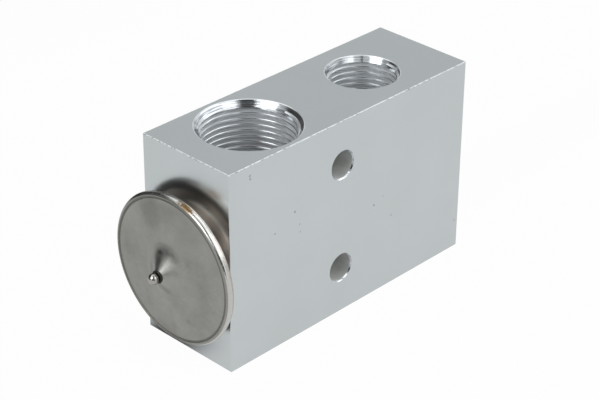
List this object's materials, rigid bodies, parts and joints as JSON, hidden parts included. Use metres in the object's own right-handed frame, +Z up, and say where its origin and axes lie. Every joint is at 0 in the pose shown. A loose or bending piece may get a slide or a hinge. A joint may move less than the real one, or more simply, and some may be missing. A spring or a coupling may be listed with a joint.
{
  "type": "expansion valve",
  "caption": "Block-type refrigerant expansion valve: aluminium block with threaded ports and bolt holes, and a welded stainless power head on its end.",
  "frame": {"origin": "middle of the block's bottom face, on which the valve stands in the picture", "axes": "+X from the power head towards the adjusting screw, +Y along the bolt holes, +Z up, out of the upper ports"},
  "size_m": [0.0918, 0.0378, 0.052],
  "materials": {
    "block": "satin extruded and milled",
    "head_steel": "stamped stainless steel",
    "ball_steel": "polished hard steel",
    "rod_aluminium": "drawn",
    "brass": "turned",
    "spring_steel": "drawn wire",
    "seal": "moulded nitrile rubber"
  },
  "bodies": {
    "block": {"valve_body": "block", "diaphragm_cover": "head_steel", "charge_ball": "ball_steel", "head_housing": "head_steel", "diaphragm": "head_steel", "head_seal": "seal", "rod_seal": "seal", "rod_seal_retainer": "brass"},
    "stem": {"diaphragm_stop": "brass", "sensing_rod": "rod_aluminium", "push_rod": "ball_steel", "valve_ball": "ball_steel", "ball_carrier": "brass", "damping_spring": "spring_steel", "superheat_spring": "spring_steel"},
    "adjuster_slider": {"adjuster_seal": "seal"},
    "adjuster": {"adjusting_screw": "brass"}
  },
  "joints": [
    {"name": "stem_stroke", "type": "slide", "parent": "block", "child": "stem", "axis": [-1, 0, 0], "range_m": [0, 0.0007], "stiffness_N_per_m": 2000, "springref_m": -0.0005, "deforming": ["diaphragm", "superheat_spring"]},
    {"name": "adjuster_travel", "type": "slide", "parent": "block", "child": "adjuster_slider", "axis": [1, 0, 0], "range_m": [-0.00101, 0.00101], "deforming": ["superheat_spring"]},
    {"name": "adjuster_turn", "type": "hinge", "parent": "adjuster_slider", "child": "adjuster", "pos_m": [0.036, 0, 0.024], "axis": [1, 0, 0], "range_deg": [-360, 360]}
  ],
  "couplings": [
    {"joint": "adjuster_travel", "follows": "adjuster_turn", "m_per_rad": 0.00015915}
  ]
}
